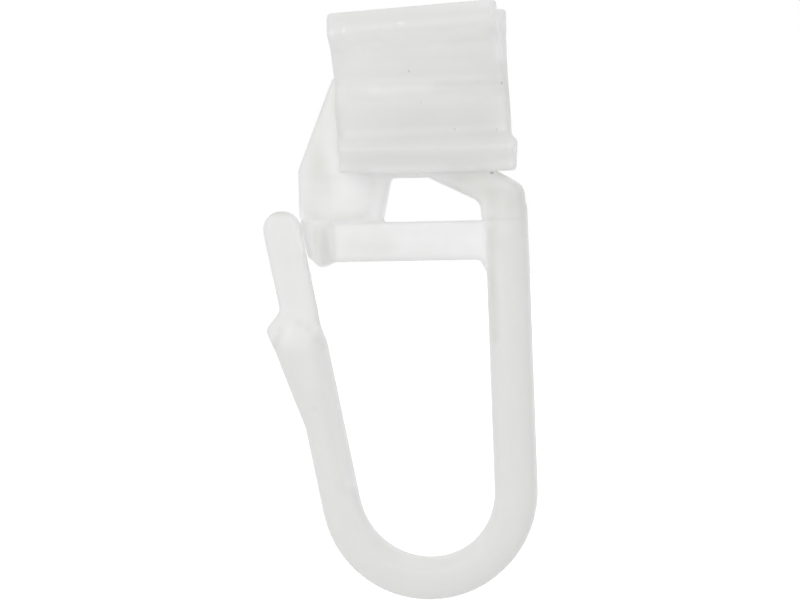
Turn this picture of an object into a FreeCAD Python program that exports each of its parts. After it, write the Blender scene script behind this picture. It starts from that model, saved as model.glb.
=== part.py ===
"""Clip-over curtain glider: a rail head, a neck plate and a sprung hook, moulded in one piece.

Millimetres. X runs along the rail, Y across it and Z up. The origin lies halfway along the
head, on its middle plane, level with the undersides of the two lower lips.
"""
import FreeCAD, Part
import math
import os

Vector = FreeCAD.Vector

# Head: its length along the rail at half its height; its ends lean back, and at the right one the
# front runs on by a skew that differs from bottom to top, with a step at the lower lips
head_length = 10.5
end_lean = 3.5
low_end_skew = 0.3
top_end_skew = -0.05
end_step = 0.33
end_step_rise = 0.4

# Head: heights of the steps of its section, from the lower lips up
low_lip_height = 0.7
undercut_height = 0.6
flange_edge = 0.25
flange_slope = 0.75
body_height = 2.2
shoulder_height = 1.0
waist_height = 2.5
lip_slope = 0.75
lip_height = 1.45
wing_rise = 0.33

# Head: full widths of its section, across the rail
low_lip_width = 8.4
flange_width = 9.2
body_low_width = 7.7
body_top_width = 7.4
waist_low_width = 5.6
waist_top_width = 6.8
lip_width = 9.0
lip_top_width = 7.8
head_edge_radius = 0.22

# Valley between the upper wings, and the hollow under the lower lips
wing_tip = 1.05
valley_depth = 3.4
valley_floor_width = 1.8
hollow_height = 1.1
hollow_width = 4.4
hollow_roof_width = 3.4

# Neck plate, with a raised pad, and the rib that runs on under the head
plate_back = 1.1
web_front = 0.6
pad_front = 1.1
neck_rise = 0.5
neck_overhang = 0.28
neck_reach = 3.05
neck_corner_height = 0.28
neck_corner_radius = 0.2
neck_draft = 12.0
rib_drop = 0.36
pad_margin = 0.8
pad_foot = 0.3
pad_corner_radius = 0.7

# Crossbar, and the gusset where it meets the rod
bar_drop = 3.08
bar_height = 2.46
bar_front = 0.1
gusset_width = 0.45
gusset_height = 0.85
inside_radius = 0.3

# Rod of the hook: the reaches run from the bend's lowest point out to the arms, at the bend's height
rod_width = 2.62
rod_depth = 3.2
rod_edge_radius = 1.05
bend_x = -0.12
bend_drop = 25.43
bend_height = 5.58
front_reach = 5.46
front_arm_lean = 1.0

# Sprung arm, which is narrower and leans outwards
spring_width = 2.33
spring_reach = 5.73
spring_lean = 10.8

# Tongue at its end, with the finger lug: lengths are taken along the arm, back from the tip
tip_above_bar = 0.8
tongue_front = 1.35
tongue_back = 0.3
tongue_edge_radius = 0.2
notch_from_tip = 6.1
notch_radius = 0.5
lug_from_tip = 7.0
lug_height = 1.1
lug_radius = 0.45
shoulder_from_tip = 7.5
thick_from_tip = 8.6
foot_from_tip = 13.6

# Pointed ridge that the tongue clips over, and how far the plate behind laps under the tongue
clip_gap = 0.2
clip_lap = 0.12
ridge_front = 1.6
ridge_ramp = 1.0
ridge_crest = 0.5
ridge_flank = 0.55
ridge_point = 0.36
ridge_edge_radius = 0.2

# Brace between the head and the rod, and how far it is offset towards the inside of the hook
brace_angle = 25.8
brace_knee_drop = 1.94
brace_knee_radius = 0.8
brace_shoulder_drop = 1.0
brace_setback = 1.15
brace_offset = 0.16
brace_edge_radius = 0.3

# Roundings are held to these shares of the wall they lie on; cutting shapes stand clear by a margin
flange_share = 0.4
wall_share = 0.46
margin = 1.0

# Levels that the sizes above fix
undercut_top = low_lip_height + undercut_height
flange_top = undercut_top + flange_edge
body_low = flange_top + flange_slope
body_top = body_low + body_height
waist_low = body_top + shoulder_height
waist_top = waist_low + waist_height
lip_low = waist_top + lip_slope
head_top = lip_low + lip_height
core_low = low_lip_height + hollow_height
bar_bottom = -bar_drop - bar_height
bend_level = bend_height - bend_drop


def rounded(corners, place):
    """Closed wire through corners (u, v, radius), each one rounded by a tangent arc."""
    turns = []
    for i, (u, v, radius) in enumerate(corners):
        corner = place(u, v)
        back = place(*corners[i - 1][:2]) - corner
        ahead = place(*corners[(i + 1) % len(corners)][:2]) - corner
        back.normalize()
        ahead.normalize()
        half_angle = back.getAngle(ahead) / 2
        reach = radius / math.tan(half_angle)
        inward = back + ahead
        inward.normalize()
        crown = corner + inward * (radius / math.sin(half_angle) - radius)
        turns.append((corner + back * reach, crown, corner + ahead * reach))
    edges = []
    for i, (start, crown, end) in enumerate(turns):
        if corners[i][2] > 0:
            edges.append(Part.Arc(start, crown, end).toShape())
        following = turns[(i + 1) % len(turns)][0]
        if end.distanceToPoint(following) > 0.001:
            edges.append(Part.LineSegment(end, following).toShape())
    return Part.Wire(edges)


def plate(corners, front, back):
    """Upright plate with a rounded outline, from `front` before the middle plane to `back` behind it."""
    face = Part.Face(rounded(corners, lambda x, z: Vector(x, -front, z)))
    return face.extrude(Vector(0, front + back, 0))


def rim(shape, ends=()):
    """Edges of a plate's front and back outlines, apart from those with a middle listed in `ends`."""
    box = shape.BoundBox
    picked = []
    for edge in shape.Edges:
        middle = edge.CenterOfMass
        at_end = any(math.hypot(middle.x - end.x, middle.z - end.z) < 0.01 for end in ends)
        on_face = min(abs(middle.y - box.YMin), abs(middle.y - box.YMax)) < 0.001
        if on_face and not at_end:
            picked.append(edge)
    return picked


def front_arm(z, outward):
    """X of the rod's straight arm at height z, `outward` from its middle line."""
    slope = math.radians(front_arm_lean)
    return bend_x + front_reach + outward / math.cos(slope) + (bend_level - z) * math.tan(slope)


def spring_arm(z, outward):
    """X of the sprung arm at height z, `outward` from its middle line."""
    slope = math.radians(spring_lean)
    return bend_x - spring_reach - outward / math.cos(slope) - (z - bend_level) * math.tan(slope)


def on_spring_arm(from_tip, outward, y=0):
    """Point of the sprung arm, `from_tip` back along it and `outward` from its middle line."""
    slope = math.radians(spring_lean)
    tip = tip_above_bar - bar_drop
    z = tip - from_tip * math.cos(slope) - outward * math.sin(slope)
    return Vector(spring_arm(z, outward), y, z)


def lug_outward(from_tip):
    """Outer edge of the thick stretch that widens from its foot to the finger lug."""
    share = (foot_from_tip - from_tip) / (foot_from_tip - shoulder_from_tip)
    return spring_width / 2 + lug_height * share


def head_section(x, rise):
    """Section of the head at x, with its front wing raised by `rise`."""
    radius = head_edge_radius
    flange_radius = min(head_edge_radius, flange_share * flange_edge)
    halves = []
    for side, lift in ((-1, rise), (1, 0)):
        half = [
            (valley_floor_width, head_top - valley_depth, radius),
            (lip_top_width - 2 * wing_tip, head_top + lift, radius),
            (lip_top_width, head_top + lift, radius),
            (lip_width, lip_low + lift, radius),
            (waist_top_width, waist_top + lift, radius),
            (waist_low_width, waist_low, radius),
            (body_top_width, body_top, radius),
            (body_low_width, body_low, radius),
            (flange_width, flange_top, flange_radius),
            (flange_width, undercut_top, flange_radius),
            (low_lip_width, low_lip_height, flange_radius),
            (low_lip_width, 0, radius),
            (hollow_width, 0, radius),
            (hollow_roof_width, hollow_height, radius),
        ]
        halves.append([(side * width / 2, z, corner) for width, z, corner in half])
    front, back = halves
    return rounded(front + back[::-1], lambda y, z: Vector(x, y, z))


def head():
    """Rail head: two upper wings and two lower lips on a waist, cut off at a slant with a step."""
    left_section = head_section(-head_length, -2 * wing_rise)
    right_section = head_section(head_length, 2 * wing_rise)
    stock = Part.makeLoft([left_section, right_section], True, True)
    quads = []
    for z, skew, step in (
        (-margin, low_end_skew, 0),
        (body_low - end_step_rise, low_end_skew, end_step),
        (body_low, low_end_skew, 0),
        (head_top + margin, top_end_skew, 0),
    ):
        shift = (head_top / 2 - z) * math.tan(math.radians(end_lean))
        left = shift - head_length / 2
        right = shift + head_length / 2 + step
        corners = [
            Vector(left, -lip_width, z),
            Vector(right + 2 * skew, -lip_width, z),
            Vector(right - 2 * skew, lip_width, z),
            Vector(left, lip_width, z),
        ]
        quads.append(Part.makePolygon(corners + corners[:1]))
    return stock.common(Part.makeLoft(quads, True, True))


def neck():
    """Neck plate from the head's waist to the crossbar, with its pad and the rib under the head."""
    lean = math.tan(math.radians(end_lean))
    draft = math.tan(math.radians(neck_draft))
    top = waist_low + neck_rise
    left = spring_arm(-bar_drop, -spring_width / 2)
    right = neck_reach - head_length / 2
    foot = right - draft * (bar_drop - rib_drop)
    rib_end = bend_x + front_reach / 2
    left_side = [
        (0, top, 0),
        (lean * (head_top / 2 - top) - head_length / 2 - neck_overhang, top, 0),
        (left, neck_corner_height, neck_corner_radius),
    ]
    web = left_side + [
        (left, 2 * clip_lap - bar_drop, 0),
        (left - clip_lap, -bar_drop, 0),
        (foot, -bar_drop, 0),
        (right, -rib_drop, inside_radius),
        (rib_end, -rib_drop, 0),
        (rib_end, core_low, 0),
        (0, core_low, 0),
    ]
    pad = left_side + [
        (left, pad_foot / 2 - bar_drop, 0),
        (foot - pad_margin, pad_foot - bar_drop, pad_corner_radius),
        (right - pad_margin, 0, 0),
        (right - pad_margin, core_low, 0),
        (0, core_low, 0),
    ]
    return plate(web, web_front, plate_back).fuse(plate(pad, pad_front, plate_back))


def crossbar():
    """Thin bar across the top of the hook, with its gusset at the rod."""
    left = spring_arm(bar_bottom, -spring_width / 2) + clip_gap + ridge_ramp / 2
    inner = front_arm(bar_bottom, -rod_width / 2)
    middle = front_arm(bar_bottom, 0)
    corners = [
        (left, -bar_drop, 0),
        (middle, -bar_drop, 0),
        (middle, bar_bottom - gusset_height, 0),
        (inner, bar_bottom - gusset_height, 0),
        (inner - gusset_width, bar_bottom, inside_radius),
        (left, bar_bottom, 0),
    ]
    return plate(corners, bar_front, plate_back)


def ridge():
    """Pointed ridge at the bar's end: a ramp on the tongue's side, a steep flank on the other."""
    inner = -spring_width / 2
    crest = spring_arm(-bar_drop, inner) + ridge_ramp
    right = crest + ridge_crest + ridge_flank
    point = bar_bottom - ridge_point
    outline = [
        (spring_arm(-bar_drop, inner) - clip_lap, -bar_drop, 0),
        (right, -bar_drop, 0),
        (right, bar_bottom, ridge_edge_radius),
        (crest + ridge_crest / 2, point, ridge_edge_radius),
        (spring_arm(bar_bottom, inner) - clip_lap, bar_bottom + ridge_point, ridge_edge_radius),
    ]
    sections = []
    for z in (point - ridge_point, ridge_point - bar_drop):
        foot = spring_arm(z, inner) + clip_gap
        section = [
            (foot, plate_back, 0),
            (foot, -bar_front, 0),
            (crest, -ridge_front, ridge_edge_radius),
            (crest + ridge_crest, -ridge_front, ridge_edge_radius),
            (right, -bar_front, 0),
            (right, plate_back, 0),
        ]
        sections.append(rounded(section, lambda x, y, level=z: Vector(x, y, level)))
    ramp = Part.makeLoft(sections, True, True).common(plate(outline, ridge_front, plate_back))
    return plate(outline, bar_front, plate_back).fuse(ramp)


def clip_space():
    """Space around the tongue that the neck, the bar and the ridge keep clear of."""
    reach = spring_width / 2 + clip_gap
    corners = []
    for from_tip, outward, radius in (
        (-clip_gap, reach, reach),
        (-clip_gap, -reach, reach),
        (notch_from_tip, -reach, 0),
        (notch_from_tip, reach, 0),
    ):
        point = on_spring_arm(from_tip, outward)
        corners.append((point.x, point.z, radius))
    return plate(corners, 2 * rod_depth, clip_gap - tongue_back)


def brace():
    """Thick flat-sided brace that carries the rod from the underside of the head."""
    outer = rod_width / 2 - brace_offset
    inner = -rod_width / 2 - brace_offset
    knee = front_arm(-brace_knee_drop, inner)
    climb = (brace_knee_drop + hollow_height) / math.tan(math.radians(brace_angle))
    root = head_length / 2 + head_top / 2 * math.tan(math.radians(end_lean)) - brace_setback
    corners = [
        (front_arm(-bar_drop, outer), -bar_drop, 0),
        (front_arm(-bar_drop, inner), -bar_drop, 0),
        (knee, -brace_knee_drop, brace_knee_radius),
        (knee - climb, hollow_height, 0),
        (knee - climb, core_low, 0),
        (root, core_low, 0),
        (root, 0, 0),
        (front_arm(-brace_shoulder_drop, outer), -brace_shoulder_drop, brace_knee_radius),
    ]
    body = plate(corners, rod_depth / 2, rod_depth / 2)
    return body.makeFillet(brace_edge_radius, rim(body))


def bend_corner(arm, level, lean):
    """Corner under an arm's edge, rounded so that its arc ends at the bend's lowest point."""
    x = arm(level)
    return x, level, abs(x - bend_x) * math.tan(math.radians(90 + lean) / 2)


def thick_edge_radius():
    """Edge radius of the rod and the thick sprung arm, within their walls."""
    return min(rod_edge_radius, wall_share * min(rod_width, rod_depth, spring_width))


def rod():
    """Round-edged rod: down from the brace, round the bend and up to the foot of the lug."""
    outer = rod_width / 2
    inner = spring_width / 2
    top = thick_edge_radius() - bar_drop
    foot_outside = on_spring_arm(foot_from_tip, inner)
    foot_inside = on_spring_arm(foot_from_tip, -inner)
    corners = [
        (front_arm(top, outer), top, 0),
        bend_corner(lambda z: front_arm(z, outer), -bend_drop - outer, -front_arm_lean),
        bend_corner(lambda z: spring_arm(z, inner), -bend_drop - outer, spring_lean),
        (foot_outside.x, foot_outside.z, 0),
        (foot_inside.x, foot_inside.z, 0),
        bend_corner(lambda z: spring_arm(z, -inner), -bend_drop + outer, spring_lean),
        bend_corner(lambda z: front_arm(z, -outer), -bend_drop + outer, -front_arm_lean),
        (front_arm(top, -outer), top, 0),
    ]
    body = plate(corners, rod_depth / 2, rod_depth / 2)
    ends = [Vector(front_arm(top, 0), 0, top), on_spring_arm(foot_from_tip, 0)]
    return body.makeFillet(thick_edge_radius(), rim(body, ends))


def lug():
    """Thick end of the sprung arm, which widens to the finger lug and thins down to the tongue."""
    thick = rod_depth / 2
    sections = []
    for from_tip, front, back, radius in (
        (foot_from_tip, thick, thick, thick_edge_radius()),
        (thick_from_tip, thick, thick, thick_edge_radius()),
        (shoulder_from_tip, tongue_front, -tongue_back, tongue_edge_radius),
    ):
        outward = lug_outward(from_tip)
        corners = [
            (-spring_width / 2, -front, radius),
            (outward, -front, radius),
            (outward, back, radius),
            (-spring_width / 2, back, radius),
        ]
        sections.append(rounded(corners, lambda n, y, station=from_tip: on_spring_arm(station, n, y)))
    return Part.makeLoft(sections, True, True)


def tongue():
    """Thin tongue with a round tip, and the upper flank of the finger lug."""
    inner = spring_width / 2
    shoulder = lug_outward(shoulder_from_tip)
    corners = []
    for from_tip, outward, radius in (
        (0, inner, inner),
        (0, -inner, inner),
        (shoulder_from_tip, -inner, 0),
        (shoulder_from_tip, shoulder, 0),
        (lug_from_tip, shoulder, lug_radius),
        (notch_from_tip, inner, notch_radius),
    ):
        point = on_spring_arm(from_tip, outward)
        corners.append((point.x, point.z, radius))
    body = plate(corners, tongue_front, -tongue_back)
    end = on_spring_arm(shoulder_from_tip, (shoulder - inner) / 2)
    return body.makeFillet(tongue_edge_radius, rim(body, [end]))


# The tongue stays clear of the seat it clips over, and everything else is one moulding
seat = neck().fuse([crossbar(), ridge()]).cut(clip_space())
fixed_side = head().fuse(seat).fuse(brace()).fuse(rod()).removeSplitter()
glider = fixed_side.fuse(lug()).fuse(tongue())
os.makedirs("parts", exist_ok=True)
glider.exportStep("parts/glider.step")
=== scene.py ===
"""Dresses the curtain glider for its photograph: one milky plastic moulding on a white ground."""
import math

import bpy
import numpy as np
from mathutils import Matrix, Vector
from mathutils.bvhtree import BVHTree


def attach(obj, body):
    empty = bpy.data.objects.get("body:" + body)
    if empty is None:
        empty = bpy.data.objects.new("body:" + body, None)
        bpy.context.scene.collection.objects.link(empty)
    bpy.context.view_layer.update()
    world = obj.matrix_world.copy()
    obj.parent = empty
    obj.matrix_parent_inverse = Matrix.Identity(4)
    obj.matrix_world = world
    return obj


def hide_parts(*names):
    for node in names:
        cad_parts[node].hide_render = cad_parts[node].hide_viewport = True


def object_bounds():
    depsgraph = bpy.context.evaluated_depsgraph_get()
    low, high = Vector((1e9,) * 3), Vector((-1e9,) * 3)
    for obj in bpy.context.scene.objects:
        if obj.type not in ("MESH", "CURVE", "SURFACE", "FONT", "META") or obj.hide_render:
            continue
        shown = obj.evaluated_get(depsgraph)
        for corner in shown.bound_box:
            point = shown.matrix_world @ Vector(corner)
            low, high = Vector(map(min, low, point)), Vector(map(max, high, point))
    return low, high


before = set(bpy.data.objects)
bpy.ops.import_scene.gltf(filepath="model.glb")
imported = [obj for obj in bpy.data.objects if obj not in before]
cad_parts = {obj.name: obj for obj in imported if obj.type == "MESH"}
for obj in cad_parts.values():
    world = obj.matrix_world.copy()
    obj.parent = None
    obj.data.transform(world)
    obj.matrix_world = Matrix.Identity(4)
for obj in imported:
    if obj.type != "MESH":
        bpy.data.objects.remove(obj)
cad_low, cad_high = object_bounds()


# Moulding
# The whole glider is one injection moulding in unfilled, milky plastic. Its edges are softly
# rounded where the mould's steel was broken, and most of all on the head's steps, round the
# ridge, along the pad and at the lug, so its surface is rebuilt here in even, fine faces.
MM = 0.001

# Millimetres: how wide a face is, how near points are joined, and how much slimmer it is meshed
SURFACE_STEP = 0.128
WELD_REACH = 0.001
SLIMMING = 0.05

# Rounds of smoothing on all edges, and on the softer ones
EDGE_ROUNDS = 3
SOFT_ROUNDS = 60

# Boxes in millimetres in which the edges are softer: low corner, high corner and how soft. The
# softness grows from nothing at a box's sides to its full share this far inside.
SOFT_FADE = 0.5
SOFT_PLACES = {
    "front steps of the head": ((-5.4, -5.0, 0.3), (5.2, -2.0, 9.6), 0.9),
    "rear steps of the head": ((-5.4, 2.0, 0.3), (5.2, 5.0, 9.6), 0.9),
    "ridge": ((-7.6, -2.2, -6.2), (-5.2, -0.1, -2.8), 0.3),
    "pad": ((-6.2, -2.0, -3.1), (-2.0, 0.2, 0.6), 0.45),
    "shoulder of the sprung arm": ((-10.2, -2.0, -12.0), (-6.4, 2.0, -8.6), 0.3),
    "shoulder of the rod": ((5.4, -2.4, -4.6), (7.2, 2.4, -0.2), 0.25),
}


class Skin:
    """The moulding's surface as arrays, in millimetres, with the means to even values out along it."""

    def __init__(self, mesh):
        self.mesh = mesh
        self.places = np.array([vertex.co[:] for vertex in mesh.vertices]) / MM
        ends = np.array([edge.vertices[:] for edge in mesh.edges])
        self.first, self.second = ends[:, 0], ends[:, 1]
        self.neighbours = np.bincount(ends.ravel(), minlength=len(self.places))

    def averages(self, values):
        """Mean of the values at each vertex's neighbours."""
        size = len(values)
        sums = np.bincount(self.first, values[self.second], size)
        sums += np.bincount(self.second, values[self.first], size)
        return sums / self.neighbours

    def evened(self, values, rounds):
        """Values, each one moved halfway to its neighbours' mean that many times."""
        for _ in range(rounds):
            values = (values + self.averages(values)) / 2
        return values

    def soften(self, weights, rounds):
        """Rounds the edges where the weights are, within the glider's size, and updates the mesh."""
        for _ in range(rounds):
            means = np.stack([self.averages(self.places[:, axis]) for axis in range(3)], axis=1)
            self.places += weights[:, None] * (means - self.places) / 2
        low, high = (np.array(corner[:]) / MM for corner in (cad_low, cad_high))
        self.places = np.clip(self.places, low, high)
        self.mesh.vertices.foreach_set("co", (self.places * MM).ravel())
        self.mesh.update()

    def keep(self, name, values):
        """Keeps one number at each vertex for the material to read."""
        self.mesh.attributes.new(name, "FLOAT", "POINT").data.foreach_set("value", values)


def inside_share(places, low, high):
    """How far the places lie inside a box: 1 well inside, 0 outside."""
    depth = np.minimum(places - np.array(low), np.array(high) - places).min(axis=1)
    return np.clip(depth / SOFT_FADE, 0, 1)


def refined_copy(node, name):
    """Copy of the node with an even, fine mesh that lies on the node's own surface.

    It is made a little slimmer before it's meshed, so that the narrow slit beside the tongue
    isn't bridged, and is then laid back onto the node.
    """
    piece = bpy.data.objects.new(name, node.data.copy())
    bpy.context.scene.collection.objects.link(piece)
    piece.modifiers.new("welded", "WELD").merge_threshold = WELD_REACH * MM
    slimmer = piece.modifiers.new("slimmer", "DISPLACE")
    slimmer.mid_level = 0
    slimmer.strength = -SLIMMING * MM
    even = piece.modifiers.new("even", "REMESH")
    even.mode = "VOXEL"
    even.voxel_size = SURFACE_STEP * MM
    onto_node = piece.modifiers.new("onto_node", "SHRINKWRAP")
    onto_node.target = node
    onto_node.wrap_method = "NEAREST_SURFACEPOINT"
    bpy.context.view_layer.update()
    mesh = bpy.data.meshes.new_from_object(piece.evaluated_get(bpy.context.evaluated_depsgraph_get()))
    mesh.name = name
    piece.modifiers.clear()
    piece.data = mesh
    mesh.shade_smooth()
    return piece


moulding = refined_copy(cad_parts["glider"], "glider_moulding")
skin = Skin(moulding.data)
skin.soften(np.ones(len(skin.places)), EDGE_ROUNDS)
softness = [share * inside_share(skin.places, low, high) for low, high, share in SOFT_PLACES.values()]
skin.soften(np.max(softness, axis=0), SOFT_ROUNDS)
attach(moulding, "root")
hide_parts("glider")


# Depth of the plastic
# Light from behind passes the thin tongue, crossbar and plate, which look whiter for it than the
# solid head and rod. So each point keeps the plastic that lies in line with it, front to back.
ACROSS = Vector((0, 1, 0))
DEPTH_ROUNDS = 20

# Millimetres: plastic that counts as full depth, how deep a ray starts, and its step past a face
FULL_DEPTH = 8.0
DEPTH_START = 0.12
DEPTH_STEP = 0.01


def plastic_in_line(tree, place, toward):
    """Length of plastic crossed from a place inside it, going one way across the rail."""
    total = 0
    inside = True
    while True:
        hit, _, _, distance = tree.ray_cast(place, toward)
        if hit is None:
            return total / MM
        if inside:
            total += distance
        inside = not inside
        place = hit + toward * DEPTH_STEP * MM


def depths(mesh, tree):
    """Plastic in line with each vertex, as a share of the full depth."""
    shares = []
    for vertex in mesh.vertices:
        start = vertex.co - vertex.normal * DEPTH_START * MM
        total = plastic_in_line(tree, start, ACROSS) + plastic_in_line(tree, start, -ACROSS)
        shares.append(min(total / FULL_DEPTH, 1))
    return np.array(shares)


skin_tree = BVHTree.FromPolygons(
    [vertex.co for vertex in moulding.data.vertices],
    [face.vertices for face in moulding.data.polygons],
)
skin.keep("depth", skin.evened(depths(moulding.data, skin_tree), DEPTH_ROUNDS))


# Recesses of the moulding, with painted light in them
# The base colour is painted whiter in recesses, creases and under the head, where shade falls, so
# that a recess comes out hardly darker than what stands round it. Each point keeps how much of it
# faces the moulding.
RECESS_ROUNDS = 8

# Millimetres: how far a ray looks, and how far off the surface it starts
RECESS_REACH = 6.0
RECESS_LIFT = 0.05

# Lean from the surface's normal in degrees, and how many rays go round at that lean
RECESS_RINGS = {25: 4, 50: 6, 72: 6}


def outward_rays(normal):
    """Rings of directions round the normal, and the normal itself."""
    aside = normal.orthogonal().normalized()
    upward = normal.cross(aside)
    rays = [normal]
    for degrees, count in RECESS_RINGS.items():
        lean = math.radians(degrees)
        for i in range(count):
            turn = 2 * math.pi * (i + 0.5) / count
            sideways = aside * math.cos(turn) + upward * math.sin(turn)
            rays.append(sideways * math.sin(lean) + normal * math.cos(lean))
    return rays


def recesses(mesh, tree):
    """Share of what each vertex faces that is the moulding itself."""
    shares = []
    for vertex in mesh.vertices:
        start = vertex.co + vertex.normal * RECESS_LIFT * MM
        faced = 0
        blocked = 0
        for ray in outward_rays(vertex.normal):
            weight = ray.dot(vertex.normal)
            faced += weight
            if tree.ray_cast(start, ray, RECESS_REACH * MM)[0] is not None:
                blocked += weight
        shares.append(blocked / faced)
    return np.array(shares)


skin.keep("recess", skin.evened(recesses(moulding.data, skin_tree), RECESS_ROUNDS))


# Painted light and shade, and clouding in the plastic
# Patches that make the base colour lighter or darker. Most are painted shade, on the brace, the
# ridge, the lug, the shoulder, the tongue's tip and the rod's top and sides, or painted light, in
# the shade of the slit, beside and on top of the pad, under the head, in creases and on the arm
# and bend; the left end is painted lighter and the right end darker as the light falls from the
# left, and the lips' right ends lighter. Three are only darker there, and one milky streak in the
# rod is the plastic's own. Each patch runs from one point of the glider's side to another, and
# goes right through.

# Start and end (x, z) and half width in millimetres, and how much lighter or darker it is there
# Most patches here are painted light and shade; three are only darker, and the rod's streak is real
PAINTED_LIGHT_SHADE_AND_CLOUDING = {
    "painted shade on the brace": ((2.4, -0.8), (5.2, -1.6), 1.8, -0.13),
    "painted shade on the lower edge of the brace": ((1.2, -0.45), (3.55, -2.0), 0.22, -0.03),
    "painted shade on the ridge": ((-6.85, -3.3), (-6.8, -5.0), 1.4, -0.1),
    "darker start of the bar": ((-5.2, -4.25), (-3.0, -4.15), 1.9, -0.13),
    "painted light in the shade of the slit": ((-7.9, -2.75), (-7.5, -4.6), 0.5, 0.19),
    "darker plate": ((-5.9, 4.6), (-6.3, 0.0), 1.9, -0.13),
    "painted light in the shade beside the pad": ((-2.9, -0.4), (-3.0, -2.3), 0.75, 0.09),
    "painted light in the shade under the head": ((-2.6, 0.0), (3.4, -0.05), 0.45, 0.08),
    "painted light in the shade on top of the pad": ((-4.5, -0.45), (-2.5, -0.5), 0.55, 0.12),
    "painted light in the crease at the foot of the body": ((-4.4, 2.4), (5.4, 2.55), 0.45, 0.045),
    "painted light on the left end of the slope": ((-4.8, 5.2), (-4.8, 4.6), 0.6, 0.04),
    "painted shade on the right end of the slope": ((1.2, 5.1), (5.2, 5.1), 0.7, -0.05),
    "painted shade on the right end": ((4.9, 3.0), (4.4, 6.3), 2.8, -0.03),
    "painted light on the left end": ((-3.2, 7.4), (-2.9, 3.4), 3.2, 0.022),
    "painted light on the left end of the step": ((-5.3, 8.3), (-4.0, 8.35), 0.7, 0.02),
    "painted light on the end of the upper lips": ((5.2, 9.8), (5.3, 7.1), 0.65, 0.17),
    "painted light on the end of the lower lips": ((5.95, 1.8), (5.95, 0.2), 0.45, 0.06),
    "painted shade on the side of the lug": ((-9.15, -9.8), (-9.5, -10.6), 0.55, -0.1),
    "painted shade on the crown of the shoulder": ((-7.95, -9.35), (-7.4, -9.55), 0.5, -0.075),
    "painted shade on the side of the shoulder": ((-7.3, -9.65), (-6.95, -10.3), 0.5, -0.045),
    "painted shade on the brow of the shoulder": ((-8.2, -9.85), (-7.6, -9.9), 0.5, -0.035),
    "painted light on the arm below the lug": ((-7.7, -11.0), (-7.1, -13.0), 1.0, 0.03),
    "painted light on the inner side of the arm": ((-6.2, -11.3), (-4.8, -19.3), 0.75, 0.08),
    "painted light on the inner side of the bend": ((-4.8, -19.3), (-2.0, -22.8), 0.6, 0.04),
    "painted light on the left of the bend": ((-4.8, -20.5), (-3.9, -22.3), 1.2, 0.03),
    "darker middle of the tongue": ((-8.9, -4.5), (-8.3, -8.0), 0.7, -0.02),
    "painted shade on the tip of the tongue": ((-9.5, -2.34), (-8.5, -2.38), 0.36, -0.18),
    "painted shade on the top of the rod": ((4.3, -1.6), (4.4, -4.6), 0.75, -0.045),
    "painted shade on the inner side of the rod": ((4.1, -3.7), (4.3, -10.5), 0.5, -0.065),
    "painted shade on the outer side of the rod": ((6.1, -1.4), (6.15, -4.0), 0.4, -0.03),
    "milky streak in the rod": ((4.8, -6.0), (5.0, -10.8), 0.4, 0.012),
}


def patch_share(places, start, end, half_width):
    """Share of a patch at each place: 1 on its middle line, and 0 from its half width on."""
    flat = places[:, [0, 2]]
    run = np.array(end) - np.array(start)
    along = np.clip((flat - start) @ run / (run @ run), 0, 1)
    distance = np.linalg.norm(flat - start - along[:, None] * run, axis=1)
    share = np.clip(1 - distance / half_width, 0, 1)
    return share * share * (3 - 2 * share)


# Painted light and shade from the patches, and the rod's milky streak, kept at each vertex
painted_light_shade_and_clouding = np.zeros(len(skin.places))
for patch_start, patch_end, patch_half_width, patch_gain in PAINTED_LIGHT_SHADE_AND_CLOUDING.values():
    painted_light_shade_and_clouding += patch_gain * patch_share(skin.places, patch_start, patch_end, patch_half_width)
skin.keep("painted_light_shade_and_clouding", painted_light_shade_and_clouding)


# Milky plastic
# Natural, slightly warm white plastic that scatters light inside. It has faint mottling and flow
# lines, a few specks of dirt and burnt pellet caught in it, and a satin, not quite even skin. Its
# base colour also carries painted light: light from behind by depth, light in the recesses,
# patches of painted light and shade, and two painted highlights on the upper lip.

# Share of the full depth, and the colour of plastic that deep, with the light from behind that
# passes thin plastic painted in
DEPTH_TONES_WITH_PAINTED_BACKLIGHT = {
    0.12: (0.825, 0.825, 0.812),
    0.15: (0.890, 0.890, 0.882),
    0.28: (0.832, 0.832, 0.824),
    0.40: (0.785, 0.789, 0.777),
    0.65: (0.790, 0.790, 0.786),
    1.00: (0.772, 0.772, 0.760),
}

# How much whiter a recess is painted, the most that the painted light may make it, and the
# patches' red, green and blue
PAINTED_RECESS_LIGHT = 0.75
BRIGHTEST_PAINTED_RECESS_LIGHT = 1.2
PATCH_TINT = (0.98, 0.98, 1.08)

# Strengths of the mottling and the flow lines, and the size in millimetres and detail of their lumps
MOTTLING = 0.02
MOTTLE_LUMPS = (2.6, 3.0)
FLOW_LINES = 0.012
FLOW_LUMPS = (0.5, 2.0)
FLOW_STRETCH = (1.0, 1.0, 0.18)

# Light inside the plastic: the share that scatters, and how far red, green and blue go, as
# shares of a scale in millimetres
SCATTER_SHARE = 0.8
SCATTER_RADIUS = (1.0, 0.96, 0.88)
SCATTER_SCALE = 2.4

# Satin skin: its roughness, how far that strays and in which lumps
ROUGHNESS = 0.42
ROUGHNESS_SPREAD = 0.16
ROUGHNESS_LUMPS = (1.1, 3.0)

# Bumps of the skin, with the broad ones and the specks and painted highlights weighed against the
# fine ones, and how high they stand in millimetres
FINE_BUMPS = (0.5, 3.0)
BROAD_BUMPS = (2.0, 1.0)
BROAD_WEIGHT = 2
SPECK_AND_HIGHLIGHT_WEIGHT = 3
BUMP_STRENGTH = 0.25
BUMP_HEIGHT = 0.02

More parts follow.
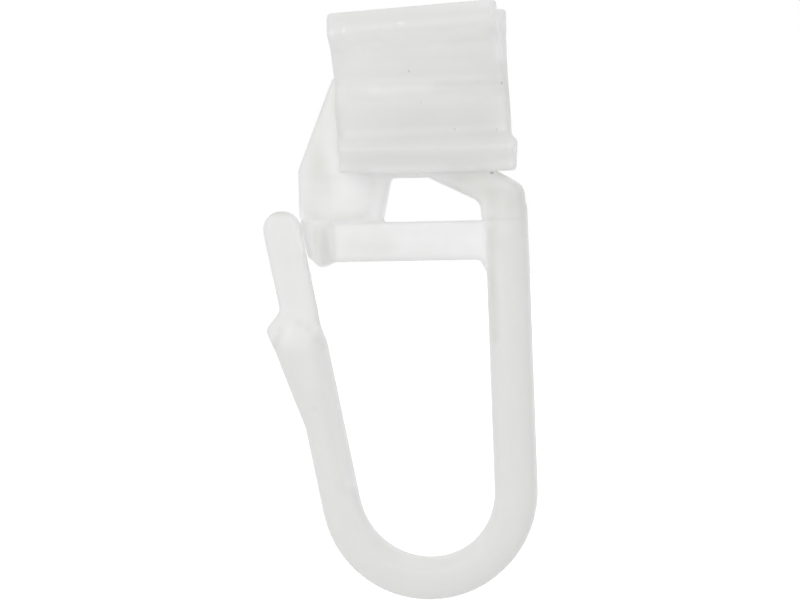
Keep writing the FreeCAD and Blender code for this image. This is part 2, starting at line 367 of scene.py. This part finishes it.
# Centre, half sizes in millimetres, and how much darker or lighter than the plastic round it
SPECKS_AND_PAINTED_HIGHLIGHTS = {
    "black speck on the brace": ((4.33, -1.56, -0.15), (0.16, 0.3, 0.1), -0.45),
    "speck on the waist": ((-0.56, -2.98, 6.22), (0.1, 0.3, 0.12), -0.17),
    "light beside it": ((-0.38, -2.98, 6.35), (0.13, 0.3, 0.1), 0.03),
    "speck by the end of the waist": ((5.17, -2.93, 5.35), (0.09, 0.3, 0.11), -0.28),
    "speck on the body": ((2.28, -3.83, 2.57), (0.13, 0.3, 0.09), -0.13),
    "light beside that": ((2.52, -3.83, 2.53), (0.11, 0.3, 0.11), 0.05),
    "speck by the end of the body": ((4.88, -3.84, 2.48), (0.08, 0.3, 0.14), -0.12),
    "pale speck, upper waist": ((-3.34, -3.33, 7.51), (0.14, 0.4, 0.12), -0.035),
    "pale speck, slope": ((3.7, -2.86, 5.45), (0.12, 0.5, 0.25), -0.035),
    "pale speck, body": ((0.23, -3.71, 4.28), (0.11, 0.4, 0.22), -0.045),
    "pale speck, sprung arm": ((-7.06, -1.6, -14.64), (0.24, 0.4, 0.26), -0.03),
    # The two lighter marks at the lip's left end are painted highlights; the one further right is only
    # lighter
    "lighter spot on the lip": ((-0.85, -4.35, 9.12), (0.3, 0.4, 0.13), 0.09),
    "painted highlight left on the lip": ((-4.4, -4.39, 8.75), (0.13, 0.4, 0.3), 0.08),
    "painted highlight at the lip's end": ((-5.15, -4.43, 8.6), (0.24, 0.5, 0.3), 0.06),
    "witness line across the rod": ((5.1, -1.6, -3.05), (1.3, 0.6, 0.1), -0.035),
}

# Share of a speck's or a painted highlight's half sizes within which it has its full strength
SPECK_AND_HIGHLIGHT_CORE = 0.5


class Socket:
    """One output of a shader node. Arithmetic on it adds Math nodes."""

    def __init__(self, tree, output):
        self.tree = tree
        self.output = output

    @classmethod
    def of(cls, tree, kind, output, settings, sockets):
        """Adds a node: its settings first, then its sockets' values or links. Gives one output."""
        node = tree.nodes.new(kind)
        for name, value in settings.items():
            if name == "stops":
                cls.place_stops(node.color_ramp.elements, value)
            else:
                setattr(node, name, value)
        for name, value in sockets.items():
            if isinstance(value, cls):
                tree.links.new(value.output, node.inputs[name])
            else:
                node.inputs[name].default_value = value
        return cls(tree, node.outputs[output])

    @staticmethod
    def place_stops(elements, stops):
        """Gives a ramp these stops in place of its own two."""
        elements.remove(elements[1])
        for i, (at, colour) in enumerate(stops.items()):
            element = elements.new(at) if i else elements[0]
            element.position = at
            element.color = (*colour, 1)

    def math(self, operation, first, second):
        """Math node on two values, one of which is this socket."""
        values = {0: first, 1: second}
        return Socket.of(self.tree, "ShaderNodeMath", 0, {"operation": operation}, values)

    def at_most(self, limit):
        """This socket's value, or the limit where it's above that."""
        return self.math("MINIMUM", self, limit)

    def __add__(self, other):
        return self.math("ADD", self, other)

    def __radd__(self, other):
        return self.math("ADD", other, self)

    def __sub__(self, other):
        return self.math("SUBTRACT", self, other)

    def __rsub__(self, other):
        return self.math("SUBTRACT", other, self)

    def __mul__(self, other):
        return self.math("MULTIPLY", self, other)

    def __rmul__(self, other):
        return self.math("MULTIPLY", other, self)

    def into(self, socket):
        """Links this output to another node's socket."""
        self.tree.links.new(self.output, socket)


def kept_number(tree, name):
    """Number that the surface keeps at each point."""
    return Socket.of(tree, "ShaderNodeAttribute", "Fac", {"attribute_name": name}, {})


def vector_math(tree, operation, output, sockets):
    """Vector Math node."""
    return Socket.of(tree, "ShaderNodeVectorMath", output, {"operation": operation}, sockets)


def specks_and_highlights(tree, place):
    """Sum of the speck ovals and painted highlight ovals, each with a full core and a soft rim."""
    total = 0
    for centre, half_sizes, gain in SPECKS_AND_PAINTED_HIGHLIGHTS.values():
        offset = vector_math(tree, "SUBTRACT", 0, {0: place, 1: Vector(centre) * MM})
        share = vector_math(tree, "DIVIDE", 0, {0: offset, 1: Vector(half_sizes) * MM})
        distance = vector_math(tree, "LENGTH", "Value", {0: share})
        oval = Socket.of(
            tree, "ShaderNodeMapRange", 0, {"interpolation_type": "SMOOTHSTEP"},
            {"Value": distance, "From Min": 1.0, "From Max": SPECK_AND_HIGHLIGHT_CORE},
        )
        total = oval * gain + total
    return total


def noise(tree, place, size, detail):
    """Noise about 0, with lumps of roughly this size in millimetres."""
    texture = Socket.of(
        tree, "ShaderNodeTexNoise", 0, {},
        {"Vector": place, "Scale": 1 / (size * MM), "Detail": detail},
    )
    return texture - 0.5


def milky_plastic_with_painted_light():
    """Material of the moulding."""
    material = bpy.data.materials.new("milky_plastic_with_painted_light")
    material.use_nodes = True
    tree = material.node_tree
    shader = tree.nodes["Principled BSDF"].inputs
    place = Socket.of(tree, "ShaderNodeTexCoord", "Object", {}, {})
    stretched = vector_math(tree, "MULTIPLY", 0, {0: place, 1: FLOW_STRETCH})
    # Base colour by depth, with painted light from behind in the thin parts
    tone_with_painted_backlight = Socket.of(tree, "ShaderNodeValToRGB", 0, {"stops": DEPTH_TONES_WITH_PAINTED_BACKLIGHT}, {0: kept_number(tree, "depth")})
    # Specks of dirt, with the painted highlights on the lip among them
    dirt_and_painted_highlights = specks_and_highlights(tree, place)
    mottling = MOTTLING * noise(tree, place, *MOTTLE_LUMPS)
    veil = mottling + FLOW_LINES * noise(tree, stretched, *FLOW_LUMPS)
    # Painted light in the recesses, plus the mottling, flow lines, specks and painted highlights
    gain = (1 + PAINTED_RECESS_LIGHT * kept_number(tree, "recess")).at_most(BRIGHTEST_PAINTED_RECESS_LIGHT) + veil + dirt_and_painted_highlights
    # Painted light and shade from the patches
    painted_light_shade_and_clouding = kept_number(tree, "painted_light_shade_and_clouding")
    tint = vector_math(tree, "MULTIPLY_ADD", 0, {0: painted_light_shade_and_clouding, 1: PATCH_TINT, 2: gain})
    vector_math(tree, "MULTIPLY", 0, {0: tone_with_painted_backlight, 1: tint}).into(shader["Base Color"])
    roughness = ROUGHNESS + ROUGHNESS_SPREAD * noise(tree, place, *ROUGHNESS_LUMPS)
    roughness.into(shader["Roughness"])
    shader["Subsurface Weight"].default_value = SCATTER_SHARE
    shader["Subsurface Radius"].default_value = SCATTER_RADIUS
    shader["Subsurface Scale"].default_value = SCATTER_SCALE * MM
    fine = noise(tree, place, *FINE_BUMPS)
    broad = noise(tree, place, *BROAD_BUMPS)
    unevenness = fine + BROAD_WEIGHT * broad + SPECK_AND_HIGHLIGHT_WEIGHT * dirt_and_painted_highlights
    skin_bump = Socket.of(
        tree, "ShaderNodeBump", 0, {},
        {"Strength": BUMP_STRENGTH, "Distance": BUMP_HEIGHT * MM, "Height": unevenness},
    )
    skin_bump.into(shader["Normal"])
    return material


moulding.data.materials.clear()
moulding.data.materials.append(milky_plastic_with_painted_light())


# White ground
# The glider is shown against plain white. The floor is matt white board, well below the hook.

# Millimetres below the hook, and metres from side to side
FLOOR_DROP = 40
FLOOR_SIZE = 6.0

# Share of light that the board gives back, its roughness, and a glow that is seen but lights nothing
FLOOR_WHITE = 0.9
FLOOR_ROUGHNESS = 0.9
FLOOR_GLOW = 0.6


def seen_directly(tree):
    """1 for rays from the camera, or by way of gloss or glass, and 0 for light on the object."""
    camera, glossy, transmission = (
        Socket.of(tree, "ShaderNodeLightPath", f"Is {kind} Ray", {}, {})
        for kind in ("Camera", "Glossy", "Transmission")
    )
    return (camera + glossy + transmission).at_most(1)


def white_board():
    """Matt white that the camera sees as pure white, apart from the object's shadow."""
    material = bpy.data.materials.new("white_board")
    material.use_nodes = True
    tree = material.node_tree
    shader = tree.nodes["Principled BSDF"].inputs
    shader["Base Color"].default_value = (FLOOR_WHITE, FLOOR_WHITE, FLOOR_WHITE, 1)
    shader["Roughness"].default_value = FLOOR_ROUGHNESS
    shader["Emission Strength"].default_value = 1.0
    glow = FLOOR_GLOW * seen_directly(tree)
    channels = {"Red": glow, "Green": glow, "Blue": glow}
    Socket.of(tree, "ShaderNodeCombineColor", 0, {}, channels).into(shader["Emission Color"])
    return material


bpy.ops.mesh.primitive_plane_add(size=FLOOR_SIZE, location=(0, 0, cad_low.z - FLOOR_DROP * MM))
floor = bpy.context.object
floor.name = "floor"
floor.data.materials.append(white_board())


# Studio light
# Even light from a white tent all round, and one broad soft lamp before the glider, a little to
# the left and above.
TENT_LEVEL = 0.71

# Metres from the part's origin, metres across, and watts
LAMP_PLACE = Vector((-0.10, -0.42, 0.12))
LAMP_SIZE = 0.30
LAMP_POWER = 0.379

tent = bpy.data.worlds.new("white_tent")
bpy.context.scene.world = tent
tent.use_nodes = True
tent_light = tent.node_tree.nodes["Background"].inputs
tent_light["Color"].default_value = (1, 1, 1, 1)
tent_strength = TENT_LEVEL + (1 - TENT_LEVEL) * seen_directly(tent.node_tree)
tent_strength.into(tent_light["Strength"])

lamp_data = bpy.data.lights.new("soft_lamp", "AREA")
lamp_data.shape = "SQUARE"
lamp_data.size = LAMP_SIZE
lamp_data.energy = LAMP_POWER
lamp = bpy.data.objects.new("soft_lamp", lamp_data)
bpy.context.scene.collection.objects.link(lamp)
lamp.location = LAMP_PLACE
lamp.rotation_euler = (-LAMP_PLACE).to_track_quat("-Z", "Y").to_euler()


# Camera
# Level with the hook and a little to its right, held about a degree out of upright.
CAMERA_AZIMUTH = math.radians(6.5)
CAMERA_ELEVATION = math.radians(1.5)
CAMERA_ROLL = math.radians(1.15)

# Pixels across the picture, and to a millimetre of the glider
PHOTO_WIDTH = 800
PIXELS_PER_MM = 16.0

# Millimetres from the camera to the glider, and across the camera's sensor
CAMERA_DISTANCE = 240
SENSOR_WIDTH = 36

# Metres between which the camera sees things
NEAREST_SEEN = 0.01
FARTHEST_SEEN = 20

# Pixels at which the part's origin and the middle of the picture are seen
ORIGIN_PIXEL = Vector((425, 172))
MIDDLE_PIXEL = Vector((400, 300))


def camera_axes():
    """Right, up and back of the camera."""
    flat = math.cos(CAMERA_ELEVATION)
    back = Vector((
        math.sin(CAMERA_AZIMUTH) * flat,
        -math.cos(CAMERA_AZIMUTH) * flat,
        math.sin(CAMERA_ELEVATION),
    ))
    level = Vector((math.cos(CAMERA_AZIMUTH), math.sin(CAMERA_AZIMUTH), 0))
    upright = back.cross(level)
    right = level * math.cos(CAMERA_ROLL) - upright * math.sin(CAMERA_ROLL)
    return right, back.cross(right), back


camera_data = bpy.data.cameras.new("camera")
camera_data.sensor_width = SENSOR_WIDTH
camera_data.lens = PIXELS_PER_MM * CAMERA_DISTANCE * SENSOR_WIDTH / PHOTO_WIDTH
camera_data.clip_start = NEAREST_SEEN
camera_data.clip_end = FARTHEST_SEEN
camera = bpy.data.objects.new("camera", camera_data)
bpy.context.scene.collection.objects.link(camera)
right, up, back = camera_axes()
offset = (ORIGIN_PIXEL - MIDDLE_PIXEL) / PIXELS_PER_MM
place = (back * CAMERA_DISTANCE - right * offset.x + up * offset.y) * MM
camera.matrix_world = Matrix.Translation(place) @ Matrix((right, up, back)).transposed().to_4x4()
bpy.context.scene.camera = camera
bpy.context.scene.view_settings.view_transform = "Standard"
